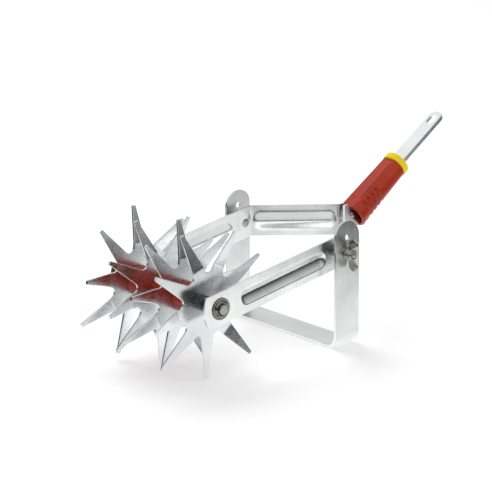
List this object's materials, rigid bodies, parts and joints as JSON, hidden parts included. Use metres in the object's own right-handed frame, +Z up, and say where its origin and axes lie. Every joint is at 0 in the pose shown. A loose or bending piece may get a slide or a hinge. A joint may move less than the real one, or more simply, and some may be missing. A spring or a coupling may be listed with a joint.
{
  "type": "rotary hand cultivator",
  "caption": "Push-pull garden cultivator head: star wheels on a free-turning roller, a clamped swinging stirrup blade behind them, and a sleeved tongue for a long handle.",
  "frame": {"origin": "middle of the underside of the stirrup's blade, below the stirrup's pivot", "axes": "+X across the tool to its right, +Y to the rear where the handle goes, +Z up; the ground is Z = 0"},
  "size_m": [0.1876, 0.4483, 0.1877],
  "materials": {
    "wheel_steel": "bright zinc plate",
    "strip_steel": "bright zinc plate",
    "tongue_steel": "satin zinc plate",
    "fastener_steel": "zinc plate, darker",
    "dark_steel": "plain dark steel",
    "drum_red": "moulded, semi-gloss",
    "bush_black": "moulded",
    "sleeve_red": "moulded, semi-gloss",
    "ring_yellow": "moulded, semi-gloss"
  },
  "bodies": {
    "head": {"frame_left": "strip_steel", "frame_right": "strip_steel", "axle": "dark_steel", "axle_cap_left": "dark_steel", "axle_cap_right": "dark_steel", "pivot_stud_left": "fastener_steel", "pivot_stud_right": "fastener_steel", "pivot_spacer_left": "fastener_steel", "pivot_spacer_right": "fastener_steel", "tang": "strip_steel", "tongue": "tongue_steel", "sleeve": "sleeve_red", "ring": "ring_yellow", "rivets": "fastener_steel"},
    "roller": {"star_wheel_1": "wheel_steel", "star_wheel_2": "wheel_steel", "star_wheel_3": "wheel_steel", "star_wheel_4": "wheel_steel", "drum_left": "drum_red", "drum_middle": "drum_red", "drum_right": "drum_red", "hub_tube": "dark_steel", "bush_left": "bush_black", "bush_right": "bush_black"},
    "stirrup": {"stirrup": "strip_steel"},
    "nut_left": {"wing_nut_left": "fastener_steel"},
    "nut_right": {"wing_nut_right": "fastener_steel"}
  },
  "joints": [
    {"name": "roller_spin", "type": "hinge", "parent": "head", "child": "roller", "pos_m": [0, -0.156, 0.0745], "axis": [1, 0, 0], "continuous": true},
    {"name": "stirrup_swing", "type": "hinge", "parent": "head", "child": "stirrup", "pos_m": [0, 0, 0.096], "axis": [1, 0, 0], "range_deg": [-45, 60]},
    {"name": "nut_left_turn", "type": "hinge", "parent": "head", "child": "nut_left", "pos_m": [-0.0803, 0, 0.096], "axis": [-1, 0, 0], "range_deg": [0, 180]},
    {"name": "nut_right_turn", "type": "hinge", "parent": "head", "child": "nut_right", "pos_m": [0.0803, 0, 0.096], "axis": [1, 0, 0], "range_deg": [0, 180]}
  ]
}
